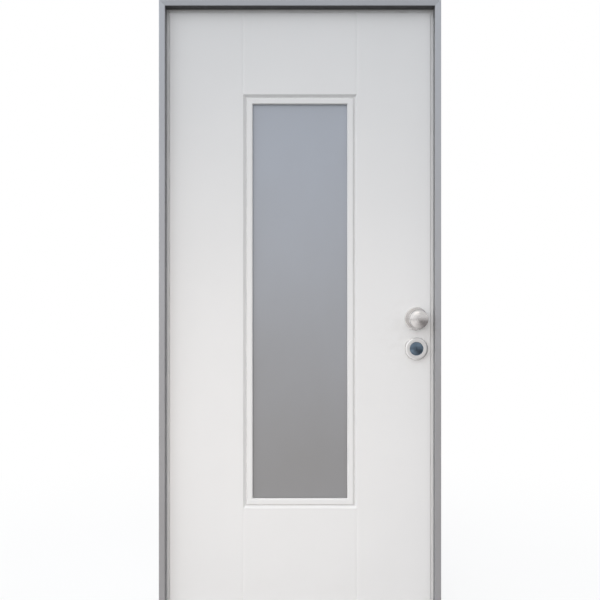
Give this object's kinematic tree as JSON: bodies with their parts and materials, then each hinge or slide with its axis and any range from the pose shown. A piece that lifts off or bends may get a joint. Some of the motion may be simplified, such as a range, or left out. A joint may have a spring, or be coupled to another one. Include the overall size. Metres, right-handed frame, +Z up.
{
  "type": "security door",
  "caption": "Steel security door with a tall frosted window, hung in a folded steel frame, with a fixed pull knob, guarded cylinder, inside lever, deadbolts and locking rods.",
  "frame": {"origin": "middle of the threshold's underside, below the leaf's middle plane", "axes": "+X right seen from outside, +Y to the inside, +Z up"},
  "size_m": [0.942, 0.1875, 2.066],
  "materials": {
    "frame_paint": "satin blue-grey powder paint",
    "leaf_paint": "satin white powder paint",
    "glass": "frosted",
    "rubber": "matt black",
    "threshold_metal": "mill finish",
    "knob_steel": "brushed",
    "guard_nickel": "satin nickel",
    "dark_disc": "glossy black",
    "wool": "loose fibre",
    "lock_steel": "zinc plated"
  },
  "bodies": {
    "frame": {"hinge_jamb": "frame_paint", "lock_jamb": "frame_paint", "head_jamb": "frame_paint", "threshold": "threshold_metal", "hinge_jamb_seal": "rubber", "lock_jamb_seal": "rubber", "head_seal": "rubber", "lock_strike": "lock_steel", "top_strike": "lock_steel", "frame_hinge_knuckles": "frame_paint", "hinge_pins": "lock_steel", "hinge_washers": "frame_paint"},
    "leaf": {"bead_screws": "lock_steel", "bottom_rail": "lock_steel", "bottom_seal": "rubber", "cylinder_body": "lock_steel", "cylinder_guard": "guard_nickel", "dog_bolts": "lock_steel", "forend_screws": "lock_steel", "glass_spacer": "threshold_metal", "hinge_stile": "lock_steel", "inner_bead_bottom": "leaf_paint", "inner_bead_left": "leaf_paint", "inner_bead_right": "leaf_paint", "inner_bead_top": "leaf_paint", "inner_gasket": "rubber", "inner_pane": "glass", "inner_skin": "leaf_paint", "knob_nut": "lock_steel", "knob_rose": "knob_steel", "leaf_hinge_knuckles": "leaf_paint", "leaf_hinge_screws": "lock_steel", "lever_rose": "knob_steel", "lock_case": "lock_steel", "lock_cover": "lock_steel", "lock_forend": "lock_steel", "lock_stile": "lock_steel", "mineral_wool_core": "wool", "outer_bead_bottom": "leaf_paint", "outer_bead_left": "leaf_paint", "outer_bead_right": "leaf_paint", "outer_bead_top": "leaf_paint", "outer_gasket": "rubber", "outer_knob": "knob_steel", "outer_pane": "glass", "outer_skin": "leaf_paint", "thumbturn_rose": "knob_steel", "top_rail": "lock_steel", "window_head_rail": "lock_steel", "window_sill_rail": "lock_steel", "window_stile_hinge_side": "lock_steel", "window_stile_lock_side": "lock_steel"},
    "cylinder_plug": {"cylinder_plug": "dark_disc"},
    "thumbturn": {"thumbturn": "knob_steel"},
    "lever": {"lever_handle": "knob_steel", "lever_spindle": "lock_steel"},
    "bolt_carriage": {"bolt_carriage": "lock_steel"},
    "top_rod": {"top_rod": "lock_steel"},
    "bottom_rod": {"bottom_rod": "lock_steel"},
    "latch": {"latch_bolt": "lock_steel"}
  },
  "joints": [
    {"name": "leaf_swing", "type": "hinge", "parent": "frame", "child": "leaf", "pos_m": [-0.461, 0.037, 0], "axis": [0, 0, 1], "range_deg": [0, 105]},
    {"name": "deadbolt_throw", "type": "slide", "parent": "leaf", "child": "bolt_carriage", "axis": [1, 0, 0], "range_m": [0, 0.02199]},
    {"name": "top_rod_throw", "type": "slide", "parent": "leaf", "child": "top_rod", "axis": [0, 0, 1], "range_m": [0, 0.022]},
    {"name": "bottom_rod_throw", "type": "slide", "parent": "leaf", "child": "bottom_rod", "axis": [0, 0, -1], "range_m": [0, 0.022]},
    {"name": "thumbturn_turn", "type": "hinge", "parent": "leaf", "child": "thumbturn", "pos_m": [0.392, 0, 0.9], "axis": [0, -1, 0], "range_deg": [0, 90]},
    {"name": "lever_turn", "type": "hinge", "parent": "leaf", "child": "lever", "pos_m": [0.392, 0, 1.001], "axis": [0, 1, 0], "range_deg": [-40, 0], "stiffness_Nm_per_rad": 2, "springref_deg": 20.05},
    {"name": "latch_throw", "type": "slide", "parent": "leaf", "child": "latch", "axis": [1, 0, 0], "range_m": [0, 0.012]},
    {"name": "cylinder_plug_turn", "type": "hinge", "parent": "leaf", "child": "cylinder_plug", "pos_m": [0.392, 0, 0.9], "axis": [0, 1, 0], "range_deg": [0, 360]}
  ],
  "couplings": [
    {"joint": "top_rod_throw", "follows": "deadbolt_throw", "ratio": 1},
    {"joint": "bottom_rod_throw", "follows": "deadbolt_throw", "ratio": 1},
    {"joint": "thumbturn_turn", "follows": "deadbolt_throw", "rad_per_m": 71.429}
  ]
}
